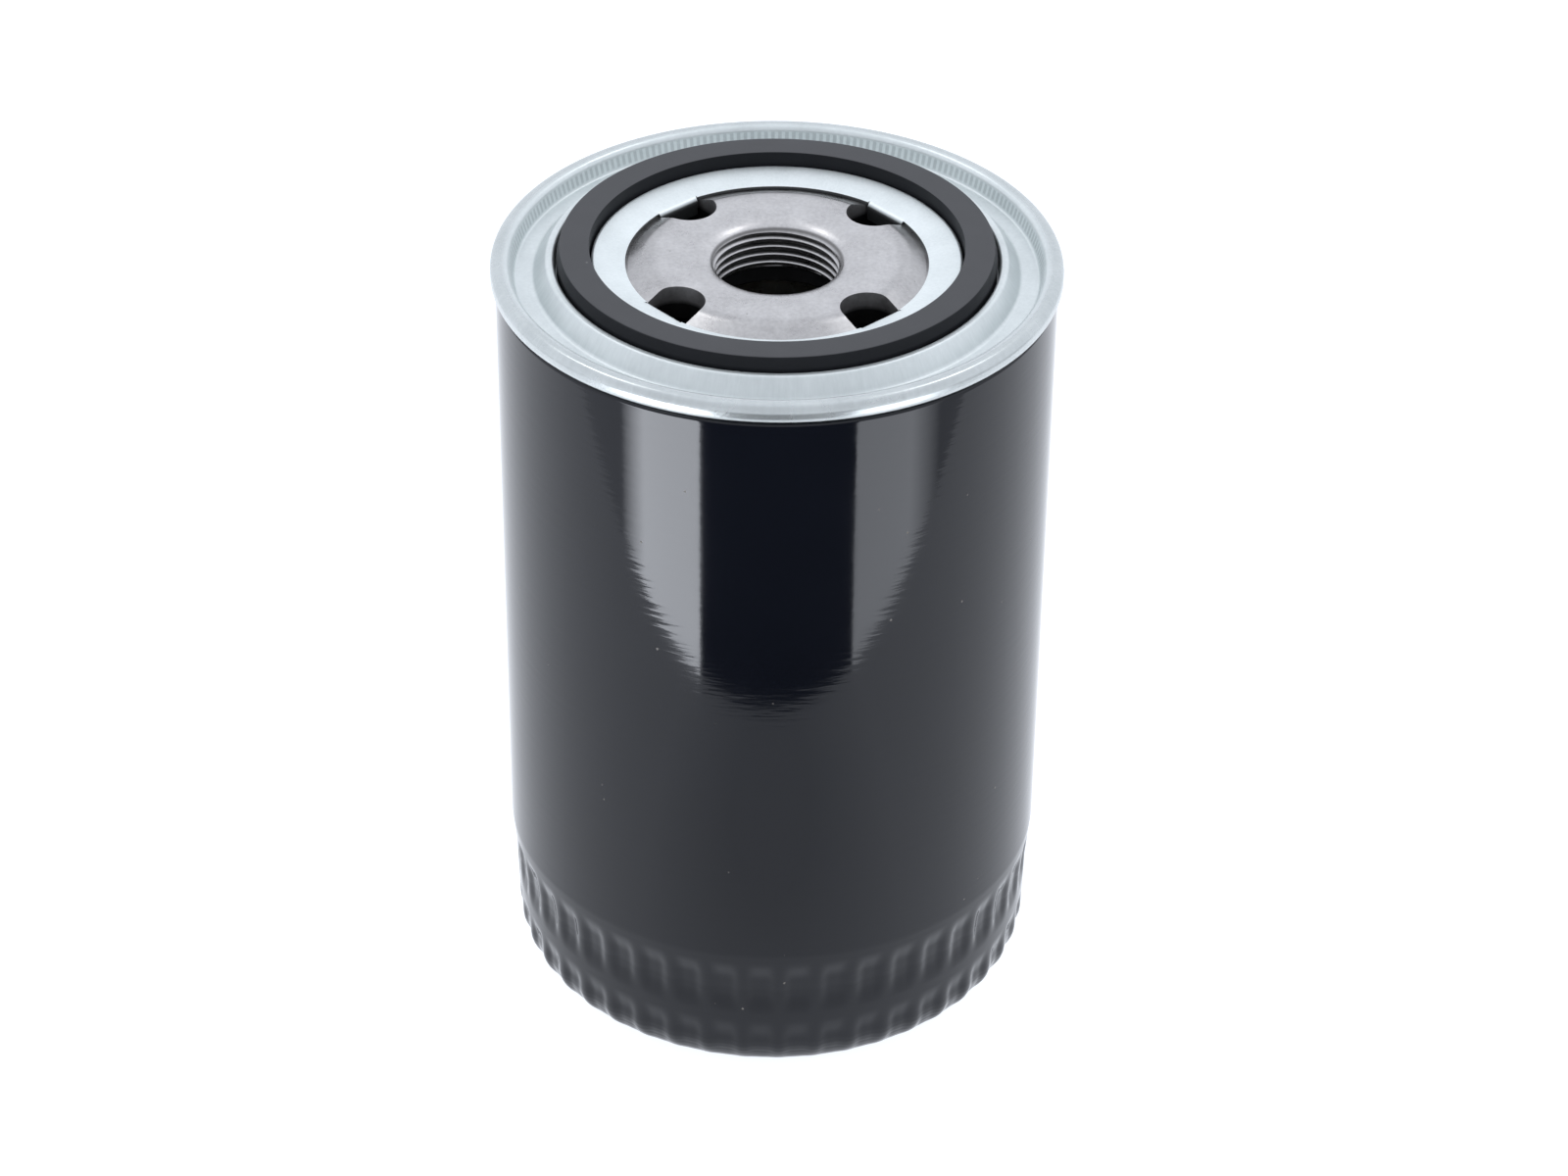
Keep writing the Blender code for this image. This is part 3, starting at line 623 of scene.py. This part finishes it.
class Nodes:
    """A material's node tree, with short calls to add and join nodes."""

    def __init__(self, name):
        self.material = bpy.data.materials.new(name)
        self.material.use_nodes = True
        self.tree = self.material.node_tree
        self.shader = self.tree.nodes["Principled BSDF"]

    def add(self, kind, inputs=None, **settings):
        made = self.tree.nodes.new(kind)
        for key, value in settings.items():
            setattr(made, key, value)
        for key, value in (inputs or {}).items():
            self.join(made.inputs[key], value)
        return made

    def join(self, socket, value):
        if isinstance(value, bpy.types.NodeSocket):
            self.tree.links.new(value, socket)
        else:
            socket.default_value = value

    def maths(self, operation, first, second=0.0):
        return self.add("ShaderNodeMath", {0: first, 1: second}, operation=operation).outputs[0]

    def place(self):
        return self.add("ShaderNodeTexCoord").outputs["Object"]

    def stretched(self, scale):
        """Object coordinates multiplied by a scale for each axis."""
        inputs = {0: self.place(), 1: scale}
        return self.add("ShaderNodeVectorMath", inputs, operation="MULTIPLY").outputs[0]

    def radius(self):
        """Distance from the filter's axis, in metres."""
        parts = self.add("ShaderNodeSeparateXYZ", {0: self.place()}).outputs
        square = self.maths("ADD", self.maths("MULTIPLY", parts[0], parts[0]),
                            self.maths("MULTIPLY", parts[1], parts[1]))
        return self.maths("SQRT", square)

    def upward(self):
        """1 on faces that look up, 0 on upright walls."""
        normal = self.add("ShaderNodeTexCoord").outputs["Normal"]
        lift = self.add("ShaderNodeSeparateXYZ", {0: normal}).outputs[2]
        return self.ramp(lift, 0.45, 0.85)

    def around(self, spread, across):
        """Coordinates that run slowly round the axis and fast across the profile, with no seam."""
        parts = self.add("ShaderNodeSeparateXYZ", {0: self.place()}).outputs
        radius = self.maths("MAXIMUM", self.radius(), 1e-5)
        x = self.maths("MULTIPLY", self.maths("DIVIDE", parts[0], radius), spread)
        y = self.maths("MULTIPLY", self.maths("DIVIDE", parts[1], radius), spread)
        z = self.maths("MULTIPLY", self.maths("ADD", radius, parts[2]), across)
        return self.add("ShaderNodeCombineXYZ", {0: x, 1: y, 2: z}).outputs[0]

    def noise(self, vector, scale, detail=3.0, roughness=0.5):
        inputs = {"Vector": vector, "Scale": scale, "Detail": detail, "Roughness": roughness}
        return self.add("ShaderNodeTexNoise", inputs).outputs["Fac"]

    def ramp(self, value, low, high, from_value=0.0, to_value=1.0):
        inputs = {"Value": value, 1: low, 2: high, 3: from_value, 4: to_value}
        return self.add("ShaderNodeMapRange", inputs).outputs[0]

    def fade(self, value, limits, from_value=0.0, to_value=1.0):
        """Ramp between a pair of limits that are in millimetres."""
        return self.ramp(value, limits[0] * MM, limits[1] * MM, from_value, to_value)

    def band(self, value, low, high, soft):
        """1 between two limits, fading to 0 over a soft margin outside each."""
        rise = self.ramp(value, low - soft, low)
        return self.maths("MULTIPLY", rise, self.ramp(value, high + soft, high))

    def blend(self, share, first, second):
        inputs = {0: share, 6: (*first, 1.0) if isinstance(first, tuple) else first,
                  7: (*second, 1.0) if isinstance(second, tuple) else second}
        return self.add("ShaderNodeMix", inputs, data_type="RGBA").outputs[2]

    def specks(self, scale, size, share):
        """1 on small round specks that a share of the cells hold."""
        inputs = {"Vector": self.place(), "Scale": scale}
        cells = self.add("ShaderNodeTexVoronoi", inputs)
        tone = self.add("ShaderNodeSeparateColor", {0: cells.outputs["Color"]}).outputs[0]
        chosen = self.maths("LESS_THAN", tone, share)
        dot = self.ramp(cells.outputs["Distance"], size, size * 0.6)
        return self.maths("MULTIPLY", chosen, dot)

    def bump(self, height, distance, strength=1.0, under=None):
        inputs = {"Height": height, "Distance": distance, "Strength": strength}
        if under:
            inputs["Normal"] = under
        return self.add("ShaderNodeBump", inputs).outputs[0]

    def finish(self, **inputs):
        """Sets or joins the main shader's inputs, whose names have _ for a space."""
        for key, value in inputs.items():
            self.join(self.shader.inputs[key.replace("_", " ")], value)
        return self.material

    def finish_with(self, kind, inputs):
        """Puts a shader of another kind in the main shader's place."""
        self.tree.nodes.remove(self.shader)
        self.shader = self.add(kind, inputs)
        self.join(self.tree.nodes["Material Output"].inputs[0], self.shader.outputs[0])
        return self.material


# ---------------------------------------------------------------- materials

def can_paint():
    """Gloss black paint: faint rolling ripple, slight flow texture and a little dust."""
    nodes = Nodes("gloss_black_paint")
    ripple = nodes.noise(nodes.around(5.0, 900.0), 1.0, 2.0)
    flow = nodes.noise(nodes.place(), 900.0, 2.0)
    soft = nodes.noise(nodes.place(), 60.0, 3.0)
    dust = nodes.specks(420.0, 0.11, 0.04)
    colour = nodes.blend(soft, (0.0026, 0.0034, 0.0062), (0.0036, 0.0047, 0.0084))
    colour = nodes.blend(nodes.maths("MULTIPLY", dust, 0.6), colour, (0.26, 0.24, 0.21))
    normal = nodes.bump(ripple, 0.000012)
    normal = nodes.bump(flow, 0.000002, under=normal)
    roughness = nodes.ramp(soft, 0.3, 0.7, 0.05, 0.09)
    roughness = nodes.maths("ADD", roughness, nodes.maths("MULTIPLY", dust, 0.5))
    nodes.shader.inputs["IOR"].default_value = 1.42
    return nodes.finish(Base_Color=colour, Roughness=roughness, Normal=normal)


def metal(name, dark, light, rough_low, rough_high, ring_bump, grain_bump):
    """Pressed sheet: cloudy tone, fine lines round the axis, fine grain and a few scratches."""
    nodes = Nodes(name)
    cloud = nodes.noise(nodes.place(), 140.0, 5.0, 0.6)
    lines = nodes.noise(nodes.around(3.0, 5200.0), 1.0, 3.0, 0.6)
    grain = nodes.noise(nodes.place(), 2600.0, 3.0, 0.6)
    scratch = nodes.noise(nodes.stretched((420.0, 5200.0, 900.0)), 1.0, 2.0)
    tone = nodes.maths("ADD", nodes.maths("MULTIPLY", cloud, 0.6), nodes.maths("MULTIPLY", lines, 0.4))
    colour = nodes.blend(nodes.ramp(tone, 0.35, 0.65), dark, light)
    scored = nodes.ramp(scratch, 0.70, 0.76)
    colour = nodes.blend(nodes.maths("MULTIPLY", scored, 0.25), colour, tuple(0.6 * v for v in dark))
    wear = nodes.maths("ADD", nodes.maths("MULTIPLY", cloud, 0.5), nodes.maths("MULTIPLY", grain, 0.5))
    roughness = nodes.ramp(wear, 0.35, 0.65, rough_low, rough_high)
    normal = nodes.bump(lines, ring_bump)
    normal = nodes.bump(grain, grain_bump, under=normal)
    nodes.shader.inputs["Metallic"].default_value = 1.0
    return nodes.finish(Base_Color=colour, Roughness=roughness, Normal=normal)


def zinc():
    """Bright zinc plating: satin on the pressed faces, smoother where the seam was rolled.

    Painted shade darkens it outside the gasket and towards the seam, and paints the tabs' upright faces
    and the opening's cut edge nearly black; it is also darker in the chuck's ticks.
    """
    nodes = Nodes("bright_zinc")
    cloud = nodes.noise(nodes.place(), 110.0, 4.0, 0.55)
    lines = nodes.noise(nodes.around(60.0, 1500.0), 1.0, 3.0, 0.6)
    grain = nodes.noise(nodes.place(), 1900.0, 3.0, 0.6)
    tone = nodes.maths("ADD", nodes.maths("MULTIPLY", cloud, 0.6), nodes.maths("MULTIPLY", lines, 0.4))
    colour = nodes.blend(nodes.ramp(tone, 0.35, 0.65), (0.74, 0.79, 0.79), (0.86, 0.91, 0.91))
    parts = nodes.add("ShaderNodeSeparateXYZ", {0: nodes.place()}).outputs
    radius = nodes.radius()
    turn = nodes.maths("ARCTAN2", parts[1], parts[0])
    tick = nodes.maths("FRACT", nodes.maths("MULTIPLY", turn, TICK_COUNT / (2.0 * math.pi)))
    struck = nodes.band(tick, 0.02, 0.48, 0.08)
    inner, outer = STRUCK_WALL
    struck = nodes.maths("MULTIPLY", struck, nodes.band(radius, inner * MM, outer * MM, 0.0001))
    struck = nodes.maths("MULTIPLY", struck, nodes.band(parts[2], TICK_LOW * MM, TICK_HIGH * MM, 0.0003))
    # Painted shade: darker past the gasket's groove and again towards the seam
    painted_shade = nodes.maths("ADD", nodes.fade(radius, PAST_GROOVE, 0.0, 0.12),
                       nodes.fade(radius, TO_SEAM, 0.0, 0.17))
    colour = nodes.blend(painted_shade, colour, (0.0, 0.0, 0.0))
    colour = nodes.blend(nodes.maths("MULTIPLY", struck, 0.3), colour, (0.16, 0.18, 0.19))
    upright = nodes.maths("SUBTRACT", 1.0, nodes.upward())
    # Painted shade: the tabs' upright faces and the opening's cut edge are painted nearly black
    edge = nodes.maths("MULTIPLY", upright, nodes.fade(radius, INNER_WALL_SHADE, 0.0, 0.93))
    colour = nodes.blend(edge, colour, (0.03, 0.03, 0.03))
    satin = nodes.fade(radius, TO_SMOOTH, 0.40, 0.26)
    uneven = nodes.ramp(cloud, 0.3, 0.7, -0.03, 0.03)
    normal = nodes.bump(lines, 0.0000016)
    normal = nodes.bump(grain, 0.0000012, under=normal)
    nodes.shader.inputs["Metallic"].default_value = 0.75
    return nodes.finish(Base_Color=colour, Roughness=nodes.maths("ADD", satin, uneven), Normal=normal)


def plate_steel():
    """Bare pickled steel: sandy grain, cloudy tone, small dark pits and short fine scratches.

    Painted shade darkens it on the outer slope, in a ring at the top of the thread and on the upright
    faces deep inside the slots.
    """
    nodes = Nodes("bare_pressed_steel")
    cloud = nodes.noise(nodes.place(), 160.0, 5.0, 0.6)
    grain = nodes.noise(nodes.place(), 1500.0, 4.0, 0.65)
    scratch = nodes.noise(nodes.stretched((500.0, 3600.0, 900.0)), 1.0, 2.0)
    pits = nodes.specks(620.0, 0.13, 0.06)
    tone = nodes.maths("ADD", nodes.maths("MULTIPLY", cloud, 0.5), nodes.maths("MULTIPLY", grain, 0.5))
    colour = nodes.blend(nodes.ramp(tone, 0.35, 0.65), (0.46, 0.45, 0.45), (0.62, 0.61, 0.61))
    scored = nodes.maths("MULTIPLY", nodes.ramp(scratch, 0.68, 0.74), 0.25)
    colour = nodes.blend(scored, colour, (0.3, 0.3, 0.3))
    colour = nodes.blend(nodes.maths("MULTIPLY", pits, 0.5), colour, (0.16, 0.15, 0.14))
    radius = nodes.radius()
    # Painted shade: the outer slope is darkened
    colour = nodes.blend(nodes.fade(radius, PLATE_SLOPE, 0.0, 0.14), colour, (0.0, 0.0, 0.0))
    # Painted shade: a dark ring at the top of the thread, under the lip
    inner, outer = BORE_SHADE
    groove = nodes.band(radius, inner * MM, outer * MM, 0.0003)
    colour = nodes.blend(nodes.maths("MULTIPLY", groove, 0.7), colour, (0.05, 0.047, 0.044))
    upright = nodes.maths("SUBTRACT", 1.0, nodes.upward())
    height = nodes.add("ShaderNodeSeparateXYZ", {0: nodes.place()}).outputs[2]
    # Painted shade: upright faces deep inside the slots are painted nearly black
    deep = nodes.fade(height, (RAISED_TOP - 2.4, RAISED_TOP - 3.3), 0.0, 0.92)
    deep = nodes.maths("MULTIPLY", deep, nodes.fade(radius, TO_SLOTS))
    colour = nodes.blend(nodes.maths("MULTIPLY", deep, upright), colour, (0.01, 0.01, 0.01))
    sheared = nodes.maths("MULTIPLY", upright, nodes.fade(radius, TO_SLOTS, 0.0, 0.18))
    roughness = nodes.maths("ADD", nodes.ramp(cloud, 0.3, 0.7, 0.24, 0.36), sheared)
    normal = nodes.bump(grain, 0.000007)
    normal = nodes.bump(cloud, 0.00001, under=normal)
    nodes.shader.inputs["Metallic"].default_value = 1.0
    return nodes.finish(Base_Color=colour, Roughness=roughness, Normal=normal)


def shaded_tube():
    """Tube sheet, darker than the caps: painted shade for the inside of the element."""
    return metal("tube_sheet", (0.10, 0.10, 0.10), (0.15, 0.15, 0.15), 0.34, 0.48, 0.000003, 0.000003)


def tinplate():
    return metal("tinplate", (0.52, 0.52, 0.50), (0.66, 0.66, 0.63), 0.26, 0.40, 0.000003, 0.000002)


def spring_steel():
    return metal("spring_wire", (0.22, 0.22, 0.23), (0.34, 0.34, 0.35), 0.28, 0.42, 0.000003, 0.000002)


def rubber(name, dark, light, rough_low, rough_high, grain_bump):
    """Moulded rubber: slight bloom, fine grain and the odd fleck of dust."""
    nodes = Nodes(name)
    bloom = nodes.noise(nodes.place(), 170.0, 4.0, 0.6)
    grain = nodes.noise(nodes.place(), 2400.0, 3.0, 0.6)
    dust = nodes.specks(450.0, 0.15, 0.03)
    colour = nodes.blend(nodes.ramp(bloom, 0.3, 0.7), dark, light)
    colour = nodes.blend(nodes.maths("MULTIPLY", dust, 0.5), colour, (0.35, 0.35, 0.34))
    roughness = nodes.ramp(bloom, 0.3, 0.7, rough_low, rough_high)
    normal = nodes.bump(grain, grain_bump)
    return nodes.finish(Base_Color=colour, Roughness=roughness, Normal=normal)


def gasket_rubber():
    """Square-cut ring, matt: painted light makes its top face pale and painted shade makes its walls
    dark.
    """
    nodes = Nodes("gasket_rubber")
    bloom = nodes.noise(nodes.place(), 170.0, 4.0, 0.6)
    grain = nodes.noise(nodes.place(), 2400.0, 3.0, 0.6)
    dust = nodes.specks(450.0, 0.12, 0.02)
    face = nodes.blend(nodes.ramp(bloom, 0.3, 0.7), (0.070, 0.071, 0.075), (0.084, 0.085, 0.090))
    wall = nodes.blend(nodes.ramp(bloom, 0.3, 0.7), (0.009, 0.010, 0.012), (0.013, 0.014, 0.017))
    # Painted light and shade: faces that look up take the pale colour, upright walls the dark one
    colour = nodes.blend(nodes.upward(), wall, face)
    colour = nodes.blend(nodes.maths("MULTIPLY", dust, 0.5), colour, (0.35, 0.35, 0.34))
    roughness = nodes.ramp(bloom, 0.3, 0.7, 0.50, 0.62)
    nodes.shader.inputs["Specular IOR Level"].default_value = 0.2
    return nodes.finish(Base_Color=colour, Roughness=roughness, Normal=nodes.bump(grain, 0.000010))


def valve_rubber():
    return rubber("valve_rubber", (0.012, 0.012, 0.013), (0.019, 0.019, 0.020), 0.30, 0.42, 0.000006)


def compound():
    return rubber("seam_compound", (0.16, 0.10, 0.07), (0.24, 0.15, 0.10), 0.70, 0.85, 0.00002)


def adhesive():
    """Cured plastisol: mottled red-brown with a slightly glossy, uneven surface."""
    nodes = Nodes("plastisol_adhesive")
    lumps = nodes.noise(nodes.place(), 350.0, 4.0, 0.6)
    colour = nodes.blend(nodes.ramp(lumps, 0.3, 0.7), (0.30, 0.06, 0.035), (0.46, 0.11, 0.065))
    roughness = nodes.ramp(lumps, 0.3, 0.7, 0.38, 0.58)
    return nodes.finish(Base_Color=colour, Roughness=roughness, Normal=nodes.bump(lumps, 0.00012))


def filter_paper():
    """Resin-treated paper: fibrous, slightly mottled and fully matt, with painted shade darkening its
    inner folds.
    """
    nodes = Nodes("filter_paper")
    fibres = nodes.noise(nodes.stretched((1500.0, 1500.0, 5200.0)), 1.0, 4.0, 0.65)
    mottle = nodes.noise(nodes.place(), 220.0, 4.0)
    tone = nodes.maths("ADD", nodes.maths("MULTIPLY", fibres, 0.5), nodes.maths("MULTIPLY", mottle, 0.5))
    colour = nodes.blend(nodes.ramp(tone, 0.35, 0.65), (0.58, 0.42, 0.19), (0.76, 0.60, 0.33))
    # Painted shade: the paper darkens towards its inner folds
    painted_inner_shade = nodes.fade(nodes.radius(), INNER_FOLDS, 0.0, 0.85)
    colour = nodes.blend(painted_inner_shade, colour, (0.02, 0.015, 0.01))
    roughness = nodes.ramp(fibres, 0.3, 0.7, 0.82, 0.95)
    return nodes.finish(Base_Color=colour, Roughness=roughness, Normal=nodes.bump(fibres, 0.00005))


def dress_inner_nodes():
    """Gives each CAD node that stays its procedural material."""
    finishes = {"tinplate": tinplate(), "tube": shaded_tube(), "adhesive": adhesive(),
                "filter_paper": filter_paper(), "valve_rubber": valve_rubber(),
                "plate_steel": plate_steel(), "seam_compound": compound()}
    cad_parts["center_tube"].data.materials.clear()
    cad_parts["center_tube"].data.materials.append(finishes.pop("tube"))
    groups = {
        "tinplate": ("top_end_cap", "bottom_end_cap", "media_seam_clip", "spring_cup", "bypass_seat",
                     "bypass_cage"),
        "adhesive": ("top_adhesive", "bottom_adhesive"),
        "filter_paper": ("pleated_media",),
        "valve_rubber": ("bypass_seal",),
        "plate_steel": ("bypass_disc", "bypass_stem"),
        "seam_compound": ("seam_compound",),
    }
    for slot, names in groups.items():
        for name in names:
            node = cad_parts[name]
            node.data.materials.clear()
            node.data.materials.append(finishes[slot])


# ---------------------------------------------------------------- camera and studio

def make_camera():
    """Looks down at the filter from its front, turned slightly about the line of sight."""
    position = Vector((0.0, -0.61451, 0.49511))
    target = Vector((0.00175, 0.0, 0.07166))
    roll = math.radians(0.640)
    data = bpy.data.cameras.new("camera")
    data.sensor_width = 36.0
    data.lens = 98.59
    camera = bpy.data.objects.new("camera", data)
    bpy.context.scene.collection.objects.link(camera)
    forward = (target - position).normalized()
    level = forward.cross(Vector((0.0, 0.0, 1.0))).normalized()
    upright = level.cross(forward)
    right = level * math.cos(roll) + upright * math.sin(roll)
    up = right.cross(forward)
    turn = Matrix((right, up, -forward)).transposed().to_4x4()
    camera.matrix_world = Matrix.Translation(position) @ turn
    bpy.context.scene.camera = camera


def glow(name, strength, soft=None, rest=0.0):
    """Glowing card. soft is two angles in degrees: it grows from rest to strength between them."""
    nodes = Nodes(name)
    if soft:
        parts = nodes.add("ShaderNodeSeparateXYZ", {0: nodes.place()}).outputs
        toward = nodes.maths("MULTIPLY", parts[1], -1.0)
        angle = nodes.maths("ARCTAN2", parts[0], toward)
        start, end = (math.radians(limit) for limit in soft)
        strength = nodes.ramp(angle, start, end, rest, strength)
    return nodes.finish_with("ShaderNodeEmission", {"Color": (*COOL_WHITE, 1.0), "Strength": strength})


def stage_mesh(name, mesh_data, finish, seen):
    """Makes a stage piece. Where seen is False the camera doesn't see it, but reflections do."""
    mesh = bpy.data.meshes.new(name)
    mesh_data.to_mesh(mesh)
    mesh_data.free()
    mesh.materials.append(finish)
    made = bpy.data.objects.new(name, mesh)
    bpy.context.scene.collection.objects.link(made)
    made.visible_camera = seen
    return made


def curved_card(name, start, end, radius, low, high, finish):
    """Upright card on a circle round the filter. Angles are degrees to the right of the front."""
    steps = 24
    mesh_data = bmesh.new()
    rows = []
    for height in (low, high):
        row = []
        for step in range(steps + 1):
            angle = math.radians(start + (end - start) * step / steps)
            row.append(mesh_data.verts.new((radius * math.sin(angle), -radius * math.cos(angle), height)))
        rows.append(row)
    for step in range(steps):
        mesh_data.faces.new((rows[0][step], rows[0][step + 1], rows[1][step + 1], rows[1][step]))
    stage_mesh(name, mesh_data, finish, seen=False)


def table_top():
    """Round pale table top, a little below zero so that it doesn't share a plane with the can's foot."""
    middle = (0.005, 0.2, -0.0003)
    mesh_data = bmesh.new()
    bmesh.ops.create_circle(mesh_data, cap_ends=True, segments=256, radius=0.356)
    bmesh.ops.translate(mesh_data, verts=mesh_data.verts, vec=middle)
    nodes = Nodes("pale_table")
    tone = nodes.noise(nodes.place(), 30.0, 3.0)
    colour = nodes.blend(tone, (0.29, 0.29, 0.29), (0.32, 0.32, 0.32))
    nodes.shader.inputs["Specular IOR Level"].default_value = 0.0
    nodes.shader.inputs["Emission Color"].default_value = (*COOL_WHITE, 1.0)
    nodes.shader.inputs["Emission Strength"].default_value = 0.92
    stage_mesh("table_top", mesh_data, nodes.finish(Base_Color=colour, Roughness=1.0), seen=True)


def front_shade():
    """A soft-edged grey sheet on the table, seen only in the can's reflections."""
    reach = 0.085
    middle = (0.0, -0.125, 0.0008)
    mesh_data = bmesh.new()
    bmesh.ops.create_circle(mesh_data, cap_ends=True, segments=64, radius=reach)
    bmesh.ops.translate(mesh_data, verts=mesh_data.verts, vec=middle)
    nodes = Nodes("front_shade")
    offset = nodes.add("ShaderNodeVectorMath", {0: nodes.place(), 1: middle}, operation="DISTANCE")
    share = nodes.ramp(offset.outputs["Value"], reach, reach * 0.35, 0.0, 0.25)
    clear = nodes.add("ShaderNodeBsdfTransparent").outputs[0]
    dark = nodes.add("ShaderNodeEmission", {"Strength": 0.0}).outputs[0]
    finish = nodes.finish_with("ShaderNodeMixShader", {0: share, 1: clear, 2: dark})
    sheet = stage_mesh("front_shade", mesh_data, finish, seen=False)
    sheet.visible_diffuse = False
    sheet.visible_shadow = False


def dim_sky():
    """Cap of sky above the front, dimmer in its middle, seen only in reflections."""
    radius = 1.3
    steps = 20
    spread = math.radians(66.0)
    lean = math.radians(52.0)
    outline = []
    for step in range(steps + 1):
        turn = spread * step / steps
        outline.append((radius * math.sin(turn), radius * math.cos(turn)))
    mesh_data = turned(outline, 96, closed=False)
    nodes = Nodes("dim_sky")
    height = nodes.add("ShaderNodeSeparateXYZ", {0: nodes.place()}).outputs[2]
    share = nodes.ramp(height, radius * math.cos(spread), radius * 0.95, 1.0, DIM_SKY)
    finish = nodes.finish_with("ShaderNodeEmission", {"Color": (*COOL_WHITE, 1.0), "Strength": share})
    cap = stage_mesh("dim_sky", mesh_data, finish, seen=False)
    cap.rotation_euler = (lean, 0.0, 0.0)
    cap.visible_shadow = False


def area_light(name, location, target, size, power):
    """Square lamp at a location that shines towards a target, and doesn't show itself."""
    data = bpy.data.lights.new(name, "AREA")
    data.shape = "RECTANGLE"
    data.size = size
    data.size_y = size
    data.energy = power
    lamp = bpy.data.objects.new(name, data)
    lamp.location = location
    away = Vector(location) - Vector(target)
    lamp.rotation_mode = "QUATERNION"
    lamp.rotation_quaternion = away.to_track_quat("Z", "Y")
    lamp.visible_camera = False
    bpy.context.scene.collection.objects.link(lamp)


def make_panels():
    """Cards below the table's height: grey sides, a dark front and a bright panel on either side of it.

    Each panel fades to the shade beside it, so that no dark gap shows between them.
    """
    low = PANEL_LOW
    far = PANEL_RADIUS
    near = PANEL_RADIUS - 0.01
    curved_card("side_shade_left", -110.0, -62.0, far, low, 0.0, glow("side_shade_left", LEFT_SHADE))
    curved_card("side_shade_right", 66.0, 110.0, far, low, 0.0, glow("side_shade_right", RIGHT_SHADE))
    curved_card("dark_front", -29.0, 32.0, far, low, -0.05, glow("dark_front", 0.07))
    bright = glow("bright_panel", 9.0, (-64.0, -54.0), LEFT_SHADE)
    curved_card("bright_panel", -64.0, -30.0, near, low, -0.2, bright)
    dim = glow("dim_panel", 3.6, (69.0, 56.0), RIGHT_SHADE)
    curved_card("dim_panel", 32.5, 69.0, near, low, -0.2, dim)


def make_studio():
    """White tent with a pale round table, the panels, a dimmer sky in front and two small lamps."""
    world = bpy.data.worlds.new("white_tent")
    world.use_nodes = True
    background = world.node_tree.nodes["Background"]
    background.inputs["Color"].default_value = (*COOL_WHITE, 1.0)
    background.inputs["Strength"].default_value = 1.0
    bpy.context.scene.world = world
    table_top()
    front_shade()
    dim_sky()
    make_panels()
    for side in (-1.0, 1.0):
        area_light("hub_light", (0.34 * side, 0.42, 0.95), (0.0, 0.0, 0.14), 0.16, 0.35)
    bpy.context.scene.view_settings.view_transform = "Standard"


make_camera()
make_studio()
make_can()
make_lid()
make_plate()
make_gasket()
make_valve()
make_springs()
dress_inner_nodes()

bpy.context.view_layer.update()
